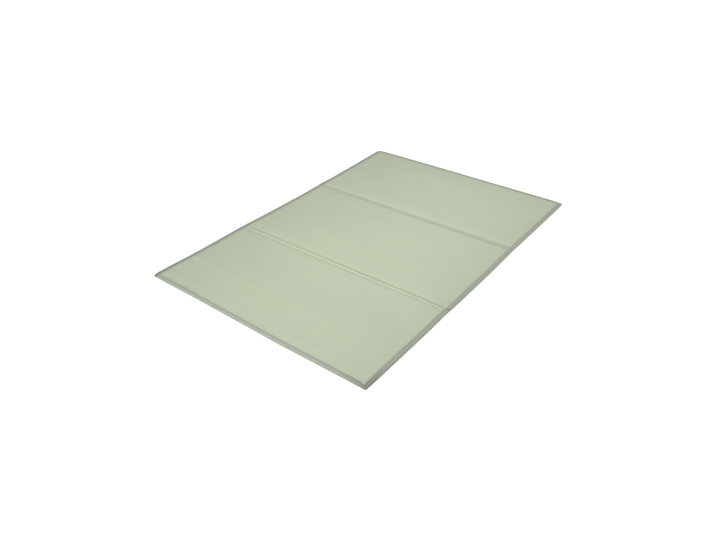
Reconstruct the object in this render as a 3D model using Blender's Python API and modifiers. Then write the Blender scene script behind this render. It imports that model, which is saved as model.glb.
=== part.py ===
"""A three-panel folding tatami mat that lies open on the floor.

Metres, +Z up, +X along the mat and +Y across it, with the origin on the floor under the middle. The
mat is one padded body faced with woven rush and sewn through along two folds. Four tapes are folded
over its edges, and the two long tapes lie over the ends of the two end tapes. The long edges are the
front at -Y and the back at +Y, and the short ones are the left end at -X and the right end at +X.
"""

import math
from collections import namedtuple

import bmesh
import bpy

COLLECTION_NAME = "Tatami mat"

# Overall size
MAT_LENGTH = 2.000
MAT_WIDTH = 1.400
PANEL_HEIGHT = 0.0160

# Edge tapes: width on top, height of the bound edge, cloth thickness and the gap to what it covers
TAPE_WIDTH = 0.0190
TAPE_HEIGHT = 0.0125
TAPE_CLOTH = 0.0012
GAP = 0.00045
LAYER = TAPE_CLOTH + GAP
TAPE_FALL = 0.0012
UPPER_ROUND = 0.0040
LOWER_ROUND = 0.0018
EDGE_DROP = 0.0025
EDGE_LIFT = 0.0010
TAPE_STEPS = 3
ROUND_CUT = 1 - math.cos(math.pi / 4)

# Corners: how far the end tapes are pressed under the long ones, and how the long ones end
CORNER_SINK = 0.0017
LONG_END_DIPS = (0.0012, 0.0005)
CORNER_DRAW = 0.0025

# Panels: the sharp and the broad part of the padding's rise beside a seam
SEAM_LEVEL = 0.0106
SHARP_SHARE = 0.60
SHARP_REACH = 0.008
BROAD_REACH = 0.060
SEAM_OFFSETS = (0.0035, 0.009, 0.020, 0.045, 0.100)
PANEL_MIDDLES = 3
WIDTH_MIDDLES = 5

# Folds: lines across a hinge strip, and how sewing pulls up the underside and the tapes
HINGE_MIDDLES = 3
UNDERSIDE_PULL = 0.0020
UNDERSIDE_REACH = 0.015
PINCH_REACH = 0.010
EDGE_FADE = 2

# Where each row of sewing meets the long edges, its height there, and how far the tapes dip over it
Seam = namedtuple("Seam", "x_front x_back height_front height_back dip_front dip_back pull")
LEFT_FOLD = (
    Seam(-0.358, -0.376, 0.0125, 0.0100, 0.0012, 0.0010, UNDERSIDE_PULL),
    Seam(-0.331, -0.346, 0.0075, 0.0095, 0.0034, 0.0015, UNDERSIDE_PULL),
)
RIGHT_FOLD = (
    Seam(0.329, 0.311, 0.0085, 0.0090, 0.0022, 0.0012, UNDERSIDE_PULL),
    Seam(0.358, 0.340, 0.0080, 0.0085, 0.0026, 0.0012, UNDERSIDE_PULL),
)

# Crest of the strip between a fold's two seams, at the front and at the back
Crest = namedtuple("Crest", "front back")
LEFT_CREST = Crest(0.0130, 0.0125)
RIGHT_CREST = Crest(0.0105, 0.0085)

# How far each edge lies inside the full rectangle, at places measured from the front left corner
Inset = namedtuple("Inset", "along depth")
FRONT_EDGE = (
    Inset(0.00, 0.0015),
    Inset(0.50, 0.0005),
    Inset(0.62, 0.0030),
    Inset(0.74, 0.0000),
    Inset(1.10, 0.0005),
    Inset(1.33, 0.0048),
    Inset(1.60, 0.0032),
    Inset(2.00, 0.0034),
)
BACK_EDGE = (
    Inset(0.00, 0.0000),
    Inset(0.34, 0.0070),
    Inset(0.62, 0.0036),
    Inset(0.84, 0.0110),
    Inset(1.12, 0.0150),
    Inset(1.29, 0.0125),
    Inset(1.34, 0.0075),
    Inset(1.42, 0.0120),
    Inset(1.62, 0.0085),
    Inset(1.82, 0.0030),
    Inset(2.00, 0.0000),
)
LEFT_EDGE = (
    Inset(0.00, 0.0060),
    Inset(0.12, 0.0055),
    Inset(0.50, 0.0000),
    Inset(0.80, 0.0030),
    Inset(1.08, 0.0048),
    Inset(1.28, 0.0025),
    Inset(1.40, 0.0030),
)
RIGHT_EDGE = (
    Inset(0.00, 0.0045),
    Inset(0.08, 0.0025),
    Inset(0.60, 0.0020),
    Inset(0.95, 0.0000),
    Inset(1.18, 0.0020),
    Inset(1.40, 0.0045),
)

# Colours
Finish = namedtuple("Finish", "colour roughness")
RUSH = Finish((0.515, 0.578, 0.440, 1.0), 0.75)
TAPE = Finish((0.300, 0.325, 0.262, 1.0), 0.88)

# A line across the mat and a row along it. Where they cross, the mat has a point
Line = namedtuple("Line", "x_front x_back height_front height_back dip_front dip_back pull depth")
Row = namedtuple("Row", "y depth fullness")


def clear_scene():
    for obj in list(bpy.data.objects):
        bpy.data.objects.remove(obj, do_unlink=True)


def mix(first, second, share):
    return first + (second - first) * share


def smooth_step(share):
    share = min(max(share, 0.0), 1.0)
    return share * share * (3 - 2 * share)


def remaining(distance):
    """Share of the padding's rise that is still missing at this distance from a seam."""
    sharp = SHARP_SHARE * math.exp(-distance / SHARP_REACH)
    return sharp + (1 - SHARP_SHARE) * math.exp(-distance / BROAD_REACH)


def inset_at(edge, along):
    """Smoothly interpolated inset of an edge."""
    for before, after in zip(edge, edge[1:]):
        if along <= after.along:
            share = (along - before.along) / (after.along - before.along)
            return mix(before.depth, after.depth, smooth_step(share))
    return edge[-1].depth


def drift_at(x, y):
    """How far a point of the full rectangle lies from there on the uneven mat."""
    from_left = x + MAT_LENGTH / 2
    from_front = y + MAT_WIDTH / 2
    across = abs(y) / (MAT_WIDTH / 2)
    lengthwise = abs(x) / (MAT_LENGTH / 2)
    side = inset_at(BACK_EDGE if y > 0 else FRONT_EDGE, from_left) * across**EDGE_FADE
    end = inset_at(RIGHT_EDGE if x > 0 else LEFT_EDGE, from_front) * lengthwise**EDGE_FADE
    to_side = max(0.0, 1 - (MAT_WIDTH / 2 - abs(y)) / TAPE_WIDTH)
    to_end = max(0.0, 1 - (MAT_LENGTH / 2 - abs(x)) / TAPE_WIDTH)
    corner = CORNER_DRAW * to_side * to_end
    return -math.copysign(end + corner, x), -math.copysign(side + corner, y)


def dip_over(seams, x, front):
    """How far the sewing of the folds draws a long tape down at this place."""
    dips = [0.0]
    for seam in seams:
        distance = x - (seam.x_front if front else seam.x_back)
        dip = seam.dip_front if front else seam.dip_back
        dips.append(dip * math.exp(-((distance / PINCH_REACH) ** 2)))
    return max(dips)


def line_at(x_front, x_back, heights, pull):
    """A line across the mat, with the dips of the tapes where it ends."""
    seams = LEFT_FOLD + RIGHT_FOLD
    return Line(
        x_front,
        x_back,
        *heights,
        dip_over(seams, x_front, front=True),
        dip_over(seams, x_back, front=False),
        pull,
        MAT_LENGTH / 2 - abs(x_front),
    )


def panel_height(left, right, from_left, from_right):
    """Height of a panel between two seam heights, at its distances from them."""
    fall_left = (PANEL_HEIGHT - left) * remaining(from_left)
    fall_right = (PANEL_HEIGHT - right) * remaining(from_right)
    return PANEL_HEIGHT - fall_left - fall_right


def underside_pull(seam, distance):
    """How far the sewing of a fold raises the underside at this distance from it."""
    return seam.pull * max(0.0, 1 - distance / UNDERSIDE_REACH) ** 2


def panel_lines(left, right):
    """Lines between two seams: close together beside each seam, and evenly spaced between."""
    width = right.x_front - left.x_front
    margin = SEAM_OFFSETS[-1]
    step = (width - 2 * margin) / (PANEL_MIDDLES + 1)
    middles = [margin + step * (n + 1) for n in range(PANEL_MIDDLES)]
    places = [*SEAM_OFFSETS, *middles, *(width - offset for offset in reversed(SEAM_OFFSETS))]
    lines = []
    for place in places:
        share = place / width
        heights = (
            panel_height(left.height_front, right.height_front, place, width - place),
            panel_height(left.height_back, right.height_back, place, width - place),
        )
        pull = max(underside_pull(left, place), underside_pull(right, width - place))
        x_front = mix(left.x_front, right.x_front, share)
        x_back = mix(left.x_back, right.x_back, share)
        lines.append(line_at(x_front, x_back, heights, pull))
    return lines


def hinge_lines(left, right, crest):
    """Lines on the strip between a fold's two seams, which is puffed up or sunk."""
    lines = []
    for n in range(HINGE_MIDDLES):
        share = (n + 1) / (HINGE_MIDDLES + 1)
        puff = math.sin(math.pi * share)
        heights = (
            mix(mix(left.height_front, right.height_front, share), crest.front, puff),
            mix(mix(left.height_back, right.height_back, share), crest.back, puff),
        )
        x_front = mix(left.x_front, right.x_front, share)
        x_back = mix(left.x_back, right.x_back, share)
        lines.append(line_at(x_front, x_back, heights, UNDERSIDE_PULL / 2))
    return lines


def seam_line(seam):
    return line_at(seam.x_front, seam.x_back, (seam.height_front, seam.height_back), seam.pull)


def tape_seam(x):
    """The row of sewing along the inner edge of an end tape."""
    return Seam(x, x, SEAM_LEVEL, SEAM_LEVEL, 0.0, 0.0, 0.0)


def end_line(x, dip):
    """A line under an end tape, where the long tapes end."""
    return Line(x, x, SEAM_LEVEL, SEAM_LEVEL, dip, dip, 0.0, MAT_LENGTH / 2 - abs(x))


def all_lines():
    """Every line across the mat, from the left end to the right."""
    half = MAT_LENGTH / 2
    seams = (tape_seam(TAPE_WIDTH - half), *LEFT_FOLD, *RIGHT_FOLD, tape_seam(half - TAPE_WIDTH))
    crests = (None, LEFT_CREST, None, RIGHT_CREST, None)
    left_end = [end_line(depth - half, dip) for depth, dip in zip((0.0, UPPER_ROUND), LONG_END_DIPS)]
    right_end = [end_line(-line.x_front, line.dip_front) for line in reversed(left_end)]
    lines = []
    for left, right, crest in zip(seams, seams[1:], crests):
        lines.append(seam_line(left))
        lines += hinge_lines(left, right, crest) if crest else panel_lines(left, right)
    return [*left_end, *lines, seam_line(seams[-1]), *right_end]


def all_rows():
    """Every row along the mat, from the front edge to the back."""
    half = MAT_WIDTH / 2
    margin = TAPE_WIDTH + SEAM_OFFSETS[-1]
    step = (MAT_WIDTH - 2 * margin) / (WIDTH_MIDDLES + 1)
    depths = [0.0, UPPER_ROUND, TAPE_WIDTH, *(TAPE_WIDTH + offset for offset in SEAM_OFFSETS)]
    front = [depth - half for depth in depths]
    middles = [margin + step * (n + 1) - half for n in range(WIDTH_MIDDLES)]
    rows = []
    for y in (*front, *middles, *(-place for place in reversed(front))):
        depth = half - abs(y)
        rows.append(Row(y, depth, 1 - remaining(max(0.0, depth - TAPE_WIDTH))))
    return rows


def under_tape(depth):
    return depth < TAPE_WIDTH + GAP


def drop_at(line, row):
    """How far the lip under the tapes is rounded off above, near its outer face."""
    return EDGE_DROP * max(0.0, 1 - min(line.depth, row.depth) / UPPER_ROUND)


def lift_at(line, row):
    """The same on the underside."""
    return EDGE_LIFT * max(0.0, 1 - min(line.depth, row.depth) / UPPER_ROUND)


def fall_at(depth):
    """How far the top of a tape falls towards its sewn inner edge."""
    share = max(0.0, depth - UPPER_ROUND) / (TAPE_WIDTH - UPPER_ROUND)
    return TAPE_FALL * share**2


def end_tape_height(row):
    """Height of an end tape's top, which is pressed down where it goes under a long tape."""
    past = max(0.0, row.depth - TAPE_WIDTH) / SEAM_OFFSETS[2]
    return TAPE_HEIGHT - (LAYER + CORNER_SINK) * (1 - smooth_step(past))


def end_tape_floor(row):
    """Height of an end tape's underside, which lies on a long tape's lower leg at the corners."""
    past = max(0.0, row.depth - TAPE_WIDTH) / SEAM_OFFSETS[1]
    return LAYER * max(0.0, 1 - past)


def long_tape_height(line, front):
    return TAPE_HEIGHT - (line.dip_front if front else line.dip_back)


def body_top(line, row):
    """Height of the body's face: the panels, the hinge strips, and the lip under the tapes."""
    if under_tape(line.depth):
        return end_tape_height(row) - fall_at(line.depth) - drop_at(line, row) - LAYER
    bound = long_tape_height(line, front=row.y < 0)
    if under_tape(row.depth):
        return bound - fall_at(row.depth) - drop_at(line, row) - LAYER
    beside = SEAM_LEVEL - (TAPE_HEIGHT - bound)
    middle = mix(line.height_front, line.height_back, row.y / MAT_WIDTH + 0.5)
    return mix(beside, middle, row.fullness)


def body_floor(line, row):
    """Height of the body's underside: flat on the floor, and raised over the tapes and at the folds."""
    if under_tape(line.depth):
        return end_tape_floor(row) + LAYER + lift_at(line, row)
    if under_tape(row.depth):
        return LAYER + lift_at(line, row)
    return line.pull


def line_x(line, y):
    return mix(line.x_front, line.x_back, y / MAT_WIDTH + 0.5)


def inside(value, half):
    """Keeps a place of the body inside the tape that covers it."""
    return math.copysign(min(abs(value), half - LAYER), value)


def material(name, finish):
    made = bpy.data.materials.new(name)
    made.use_nodes = True
    shader = made.node_tree.nodes["Principled BSDF"]
    shader.inputs["Base Color"].default_value = finish.colour
    shader.inputs["Roughness"].default_value = finish.roughness
    shader.inputs["Metallic"].default_value = 0.0
    return made


def object_of(name, mesh, finish, collection):
    mesh.shade_smooth()
    mesh.materials.append(material(name, finish))
    obj = bpy.data.objects.new(name, mesh)
    collection.objects.link(obj)
    return obj


def places_of(vertices, columns, rows):
    """The column and row of each vertex of a grid, before it is shaped."""
    return {
        vertex: (
            round((vertex.co.x + 1) / 2 * (columns - 1)),
            round((vertex.co.y + 1) / 2 * (rows - 1)),
        )
        for vertex in vertices
    }


def flat_grid(columns, rows):
    """A grid with this many points each way."""
    bm = bmesh.new()
    bmesh.ops.create_grid(bm, x_segments=columns - 1, y_segments=rows - 1, size=1.0)
    return bm


def mesh_of(name, bm):
    mesh = bpy.data.meshes.new(name)
    bm.to_mesh(mesh)
    bm.free()
    return mesh


def build_body(lines, rows, collection):
    """The padded mat, from one grid that is doubled into an underside and a face."""
    bm = flat_grid(len(lines), len(rows))
    below = places_of(bm.verts, len(lines), len(rows))
    doubled = bmesh.ops.extrude_face_region(bm, geom=list(bm.faces), use_keep_orig=True)
    new = [item for item in doubled["geom"] if isinstance(item, bmesh.types.BMVert)]
    above = places_of(new, len(lines), len(rows))
    bmesh.ops.translate(bm, verts=new, vec=(0.0, 0.0, 1.0))
    bmesh.ops.recalc_face_normals(bm, faces=list(bm.faces))
    for side, height in ((below, body_floor), (above, body_top)):
        for vertex, (column, number) in side.items():
            line = lines[column]
            row = rows[number]
            x = line_x(line, row.y)
            shift_x, shift_y = drift_at(x, row.y)
            vertex.co = (
                inside(x, MAT_LENGTH / 2) + shift_x,
                inside(row.y, MAT_WIDTH / 2) + shift_y,
                height(line, row),
            )
    return object_of("rush_mat", mesh_of("rush_mat", bm), RUSH, collection)


def tape_section(top, floor):
    """(depth, height) round the outside of a folded tape, from its lower edge to its upper one."""
    low = LOWER_ROUND
    high = UPPER_ROUND
    step = (TAPE_WIDTH - high) / TAPE_STEPS
    upper = [high + step * n for n in range(TAPE_STEPS + 1)]
    return [
        (TAPE_WIDTH, floor),
        (low, floor),
        (low * ROUND_CUT, floor + low * ROUND_CUT),
        (0.0, floor + low),
        (0.0, top - high),
        (high * ROUND_CUT, top - high * ROUND_CUT),
        *((depth, top - fall_at(depth)) for depth in upper),
    ]


def build_tape(name, sections, collection):
    """A tape folded over an edge, from a list of sections, each a list of points."""
    bm = flat_grid(len(sections), len(sections[0]))
    for vertex, (column, number) in places_of(bm.verts, len(sections), len(sections[0])).items():
        x, y, z = sections[column][number]
        shift_x, shift_y = drift_at(x, y)
        vertex.co = (x + shift_x, y + shift_y, z)
    obj = object_of(name, mesh_of(name, bm), TAPE, collection)
    cloth = obj.modifiers.new("Cloth", "SOLIDIFY")
    cloth.thickness = TAPE_CLOTH
    cloth.offset = -1
    cloth.use_even_offset = True
    cloth.use_quality_normals = True
    return obj


def long_tape_sections(lines, front):
    """Sections along a long edge, walked with the mat on the left."""
    sections = []
    for line in lines if front else reversed(lines):
        section = []
        for depth, z in tape_section(long_tape_height(line, front), 0.0):
            y = depth - MAT_WIDTH / 2 if front else MAT_WIDTH / 2 - depth
            section.append((line_x(line, y), y, z))
        sections.append(section)
    return sections


def end_tape_sections(rows, left):
    """Sections along an end, walked with the mat on the left. It stops just inside the long tapes."""
    sections = []
    kept = rows[1:-1]
    for row in reversed(kept) if left else kept:
        section = []
        for depth, z in tape_section(end_tape_height(row), end_tape_floor(row)):
            x = depth - MAT_LENGTH / 2 if left else MAT_LENGTH / 2 - depth
            section.append((x, row.y, z))
        sections.append(section)
    return sections


def main():
    clear_scene()
    collection = bpy.data.collections.new(COLLECTION_NAME)
    bpy.context.scene.collection.children.link(collection)
    lines = all_lines()
    rows = all_rows()
    build_body(lines, rows, collection)
    tapes = {
        "long_tape_front": long_tape_sections(lines, front=True),
        "long_tape_back": long_tape_sections(lines, front=False),
        "end_tape_left": end_tape_sections(rows, left=True),
        "end_tape_right": end_tape_sections(rows, left=False),
    }
    for name, sections in tapes.items():
        build_tape(name, sections, collection)


main()
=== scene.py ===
"""Looks of a three-panel folding tatami mat, laid open on a pale floor.

Metres, in the frame of the construction model: +X along the mat, +Y across it and +Z up, with the origin
on the floor under the middle. The long edges are the front at -Y and the back at +Y, and the short ones
are the left end at -X and the right end at +X. The padded mat with its woven face, the four edge tapes
and the sewing are fine meshes on the forms of the construction model, whose plain solids they hide.
"""

import math
from collections import namedtuple

import bmesh
import bpy
import numpy as np
from bpy.props import FloatProperty, FloatVectorProperty, IntProperty, PointerProperty
from bpy.types import Operator, Panel, PropertyGroup
from mathutils import Matrix, Vector
from mathutils.bvhtree import BVHTree


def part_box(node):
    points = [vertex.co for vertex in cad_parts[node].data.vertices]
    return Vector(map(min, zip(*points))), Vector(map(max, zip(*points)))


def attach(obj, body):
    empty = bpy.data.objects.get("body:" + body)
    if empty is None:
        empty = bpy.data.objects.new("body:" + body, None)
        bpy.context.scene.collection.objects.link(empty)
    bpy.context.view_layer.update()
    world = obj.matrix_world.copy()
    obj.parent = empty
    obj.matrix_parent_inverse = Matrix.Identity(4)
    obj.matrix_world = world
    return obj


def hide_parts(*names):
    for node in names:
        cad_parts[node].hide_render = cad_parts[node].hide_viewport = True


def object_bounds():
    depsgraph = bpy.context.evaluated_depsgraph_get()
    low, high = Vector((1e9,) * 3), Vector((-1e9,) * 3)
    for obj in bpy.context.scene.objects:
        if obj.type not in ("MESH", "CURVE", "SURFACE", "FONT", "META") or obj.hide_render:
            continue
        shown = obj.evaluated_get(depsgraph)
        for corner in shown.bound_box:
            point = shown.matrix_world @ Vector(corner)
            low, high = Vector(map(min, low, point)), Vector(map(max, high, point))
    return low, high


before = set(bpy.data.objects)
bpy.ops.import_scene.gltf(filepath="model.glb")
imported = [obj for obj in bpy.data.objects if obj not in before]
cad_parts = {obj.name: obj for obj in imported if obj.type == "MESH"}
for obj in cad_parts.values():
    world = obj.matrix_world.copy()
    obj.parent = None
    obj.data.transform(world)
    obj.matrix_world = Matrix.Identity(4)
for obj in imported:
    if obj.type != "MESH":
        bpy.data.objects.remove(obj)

bl_info = {
    "name": "Tatami mat",
    "version": (1, 0, 0),
    "blender": (4, 5, 0),
    "location": "3D View > Sidebar > Tatami mat",
    "description": "Builds a padded folding mat faced with woven rush and bound with cloth tape",
    "category": "Add Mesh",
}

# Sizes taken from the construction model
CAD_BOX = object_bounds()
HALF_LENGTH = (CAD_BOX[1].x - CAD_BOX[0].x) / 2
HALF_WIDTH = (CAD_BOX[1].y - CAD_BOX[0].y) / 2
PANEL_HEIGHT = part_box("rush_mat")[1].z
TAPE_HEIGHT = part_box("long_tape_front")[1].z
BODY = "root"
RUSH_SLOT = "woven_rush"
TAPE_SLOT = "tape_cloth"
WEAVE = "weave"
RIBBED = "ribbed"
# Name of the mask of painted shade on the mat and the tapes, which also holds the tapes' darker first ends
# and tips
PAINTED_SHADE = "crease"

# Padding's rise beside a seam, in a sharp and a broad part
SEAM_LEVEL = 0.0106
FOLD_SHARPNESS = 0.60
TAPE_SHARPNESS = 0.30
SHARP_REACH = 0.008
BROAD_REACH = 0.045

# Rows of sewing: place, height of the face, darkness and width of the painted shade in the crease, sharpness
# of the rise
SeamEnd = namedtuple("SeamEnd", "x height crease reach sharpness")
Seam = namedtuple("Seam", "front back")
LEFT_FOLD = (
    Seam(SeamEnd(-0.3605, 0.0126, 0.32, 0.0035, 0.60), SeamEnd(-0.3785, 0.0115, 0.35, 0.0035, 0.60)),
    Seam(SeamEnd(-0.3360, 0.0064, 1.00, 0.0062, 0.55), SeamEnd(-0.3470, 0.0106, 0.36, 0.0042, 0.75)),
)
RIGHT_FOLD = (
    Seam(SeamEnd(0.3285, 0.0084, 0.52, 0.0190, 0.50), SeamEnd(0.3150, 0.0092, 0.36, 0.0120, 0.50)),
    Seam(SeamEnd(0.3580, 0.0090, 0.25, 0.0060, 0.70), SeamEnd(0.3400, 0.0098, 0.20, 0.0060, 0.70)),
)

# A narrow dimple in a wider hollow, where the left fold's inner seam runs into the front tape, each darkened
# by painted shade
Dimple = namedtuple("Dimple", "x y along across depth shade")
DIMPLES = (
    Dimple(-0.3372, -0.6660, 0.0055, 0.0140, 0.0016, 1.0),
    Dimple(-0.3050, -0.6600, 0.0420, 0.0450, 0.0008, 0.26),
)

# Strip between a fold's two seams: height of its crest at the front and at the back, and shape of its puff
LEFT_CREST = (0.0158, 0.0158)
RIGHT_CREST = (0.0084, 0.0090)
PUFF_SHARPNESS = 0.85
PUFF_LEAN = 1.45

# Spacing of the mat's points
SEAM_OFFSETS = (0.0010, 0.0022, 0.0036, 0.0054, 0.0078, 0.0110, 0.0155, 0.0220, 0.0310, 0.0440, 0.062, 0.088)
HINGE_OFFSETS = (0.0010, 0.0022, 0.0040, 0.0062, 0.0090)
WIDEST_COLUMN = 0.046
LIP_DEPTHS = (0.0040, 0.0090, 0.0140)
POINTS_A_RIB = 4
BELOW_STEP = 40

# How the edges are read from the construction model
PROBE_STEP = 0.004
PROBE_HEIGHT = 0.0044
PROBE_DISTANCE = 0.1
CREST_DEPTH = 0.0065
OUTLINE_SMOOTHING = 0.012
HEIGHT_SMOOTHING = 0.003
SMOOTHING_SPAN = 3
EDGE_FADE = 2

# The lip of the mat under its tapes, and the pull of the sewing on its underside
UPPER_ROUND = 0.0040
SHOULDER_WIDTH = 0.0135
SHOULDER_HEIGHT = 0.0052
LOWER_ROUND = 0.0026
TAPE_FALL = 0.0004
TAPE_GAP = 0.0003
LIP_BEVEL = 0.0006
FLOOR_START = 0.0202
UNDERSIDE_PULL = 0.0020
UNDERSIDE_REACH = 0.015

# Soft waves of the padding: wavelengths along and across the mat, and a phase
Wave = namedtuple("Wave", "along across phase share")
PAD_WAVES = (
    Wave(0.43, 0.61, 0.4, 0.35),
    Wave(-0.29, 0.37, 1.9, 0.28),
    Wave(0.21, -0.83, 3.1, 0.22),
    Wave(0.17, 0.19, 5.2, 0.15),
)

# Puckers along the sewing of the folds
PUCKER_WAVES = (Wave(1.0, 0.0140, 0.0, 0.55), Wave(1.0, 0.0093, 2.0, 0.25), Wave(1.0, 0.0310, 4.4, 0.20))
PUCKER_REACH = 0.012
PUCKER_START = 0.0015

# Painted shade of each tape: along its sewing and on its outer side from end to end, a darker first end, and
# the painted shade beside it on the mat with its width
TapeShade = namedtuple("TapeShade", "sewn_first sewn_second side_first side_second soiled crease reach")
FRONT_TAPE_SHADE = TapeShade(0.95, 0.45, 2.90, 0.00, 0.75, 0.85, 0.0065)
BACK_TAPE_SHADE = TapeShade(0.60, 0.60, 0.45, 0.45, 0.45, 1.00, 0.0150)
LEFT_TAPE_SHADE = TapeShade(0.00, 0.00, 1.60, 1.60, 0.55, 0.35, 0.0110)
RIGHT_TAPE_SHADE = TapeShade(0.50, 0.50, 0.90, 0.90, 0.00, 0.80, 0.0110)
SIDE_FADE = 2
DARKER_END_REACH = 0.120
# Darker tips of the long tapes
TIP_DARKENING = 0.55
TIP_REACH = 0.009
# Painted shadow on an end tape where a long tape lies over it
OVERLAP_SHADOW = 0.85
OVERLAP_REACH = 0.003

# How much thinner the corners lie than the edges
CORNER_DROP = 0.38
CORNER_REACH = 0.016

# A tape's folded section, measured inwards from the outer edge
LOWER_LEG = (0.0190, 0.0178, 0.0168, 0.0160, 0.0152, 0.0140, 0.0100, 0.0055)
UPPER_LEG = (0.0142, 0.0151, 0.0160, 0.0169, 0.0177, 0.0184, 0.0190)
STITCH_DEPTH = 0.0160
GROOVE_REACH = 0.0011
STITCH_LIFT = 0.0002
LOWER_ARC = 3
UPPER_ARC = 11
SIDE_STEPS = 3
TAPE_STEP = 0.0020
TAPE_PINCH = 0.0035
# Painted shade on a tape's lower outer side
SIDE_SHADE_HEIGHT = 0.010
SIDE_SHADE_DEPTH = 0.010
END_STEPS = (0.0, 0.0001, 0.0003, 0.0006, 0.0010, 0.0015)
END_THICKNESS = 0.1
TAPE_WAVES = (Wave(0.173, 1.0, 0.7, 0.40), Wave(0.067, 1.0, 2.9, 0.35), Wave(0.029, 1.0, 5.0, 0.25))

# Stitches: the balls that they are stretched from, and how unevenly they lie
BALL_SEGMENTS = 8
BALL_RINGS = 5
BALL_RADIUS = 0.5
STITCH_TURN = (0.06, 0.06, 0.03)
STITCH_SIZES = (0.9, 1.1)
FIRST_STITCH = 2

# Look of the rush: scales of its noise, and what each part adds to its tint, shade and relief
STREAKS = (90.0, 2.0, 1.0)
STREAK_DETAIL = 3.0
PATCHES = (2.2, 1.6, 1.0)
FIBRES = (3200.0, 160.0, 1.0)
PLAIN_DETAIL = 2.0
STRAND_TINT = 0.9
STREAK_TINT = 0.7
PATCH_TINT = 0.6
GAP_SHADE = 0.55
GROOVE_SHADE = 0.35
CREASE_SHADE = 0.8
STRAND_RELIEF = 0.6
ARCH_RELIEF = 0.3
FIBRE_RELIEF = 0.1

# Look of the tape and of the thread
WARM_PATCHES = (28.0, 60.0, 1.0)
WARM_TINT = 2.2
WORN_PATCHES = (6.0, 20.0, 1.0)
YARN_PITCH = 0.6
RIB_SHADE = 0.4
YARN_SHADE = 0.2
RIB_RELIEF = 0.7
YARN_RELIEF = 0.3
TWILL_RELIEF = 0.25
THREAD_ROUGHNESS = 0.7
PLY_PITCH = 0.7
PLY_SHADE = 0.7
PLY_RELIEF = 0.2
FUZZ = (900.0, 900.0, 900.0)
FUZZ_SHADE = 0.3

# Stage
FLOOR_REACH = 40.0
FLOOR_SIDES = 96
FLOOR_GAP = 0.0002
FLOOR_ROUGHNESS = 0.9
BACKDROP_HEIGHT = 16.0
KEY_ANGLE = math.radians(25)
BOX_SIZE = (3.2, 0.7)
WHITE = (1.0, 1.0, 1.0, 1.0)
SENSOR = 36.0


def mix(first, second, share):
    return first + (second - first) * share


def bump(distance, reach):
    return np.exp(-((distance / reach) ** 2))


def remaining(distance, sharpness):
    """Share of the padding's rise that is still missing at this distance from a seam."""
    return mix(np.exp(-distance / BROAD_REACH), np.exp(-distance / SHARP_REACH), sharpness)


def waves(table, along, across):
    """Sum of a table's waves at these places, from about -1 to 1."""
    total = 0.0
    for wave in table:
        turns = along / wave.along + across / wave.across
        total = total + wave.share * np.sin(math.tau * turns + wave.phase)
    return total


def numbers_with(**look):
    """A maker of settings that look like this in the sidebar, for one number or for several."""

    def made(name, description, default):
        kind = FloatVectorProperty if isinstance(default, tuple) else FloatProperty
        return kind(name=name, description=description, default=default, **look)

    return made


a_number = numbers_with()
a_length = numbers_with(unit="LENGTH")
a_share = numbers_with(min=0.0, max=1.0, subtype="FACTOR")
an_angle = numbers_with(subtype="ANGLE")
a_colour = numbers_with(subtype="COLOR", size=4)
a_place = numbers_with(subtype="XYZ")


class MatSettings(PropertyGroup):
    """The padded mat and the weave of its face."""

    ripple: a_length("Unevenness", "Height of the padding's soft waves", 0.0004)
    pucker: a_length("Puckers", "Height of the puckers beside the folds", 0.0004)
    rib_pitch: a_length("Rib pitch", "Distance between the ribs of the weave", 0.008)
    rib_height: a_length("Rib height", "Height of a rib above its grooves", 0.0006)
    strand_width: a_length("Strand width", "Width of one strand of rush", 0.0014)
    strand_relief: a_length("Strand relief", "How far a strand stands proud", 0.0004)
    rush_colour: a_colour("Rush", "Colour of most of the rush", (0.517, 0.573, 0.430, 1.0))
    straw_colour: a_colour("Straw", "Colour of its driest strands", (0.574, 0.598, 0.447, 1.0))
    green_colour: a_colour("Green", "Colour of its freshest strands", (0.468, 0.545, 0.400, 1.0))
    # Also the colour of the painted shade along the folds, in the dimples and beside the tapes
    shade_colour: a_colour("Shade", "Colour between the strands", (0.330, 0.375, 0.265, 1.0))
    roughness: a_share("Roughness", "Roughness of the rush", 0.62)


class TapeSettings(PropertyGroup):
    """The cloth tape round the edges."""

    thickness: a_length("Thickness", "Thickness of the tape's cloth", 0.0012)
    groove: a_length("Groove", "How deep the sewing sinks into the tape", 0.0004)
    waver: a_length("Waver", "How far the tape's edges wander", 0.0004)
    twill_pitch: a_length("Twill pitch", "Distance between the tape's slanting ribs", 0.0011)
    colour: a_colour("Tape", "Colour of the tape", (0.390, 0.443, 0.356, 1.0))
    warm_colour: a_colour("Warm", "Colour of its browner threads", (0.406, 0.431, 0.346, 1.0))
    # Also the colour of the tape's painted shade and of its darker first end and tips
    shade_colour: a_colour("Shade", "Colour between its threads", (0.210, 0.235, 0.185, 1.0))
    roughness: a_share("Roughness", "Roughness of the tape", 0.85)


class SewingSettings(PropertyGroup):
    """The stitches along the tapes and the folds."""

    pitch: a_length("Pitch", "Distance from one stitch to the next", 0.006)
    length: a_length("Length", "Length of a stitch that shows", 0.0050)
    thread: a_length("Thread", "Thickness of the thread", 0.0009)
    seed: IntProperty(name="Seed", description="Seed for how unevenly the stitches lie", default=7)
    colour: a_colour("Thread colour", "Colour of the thread", (0.390, 0.428, 0.348, 1.0))
    dark_colour: a_colour("Thread shade", "Colour between its plies", (0.255, 0.288, 0.225, 1.0))


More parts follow.
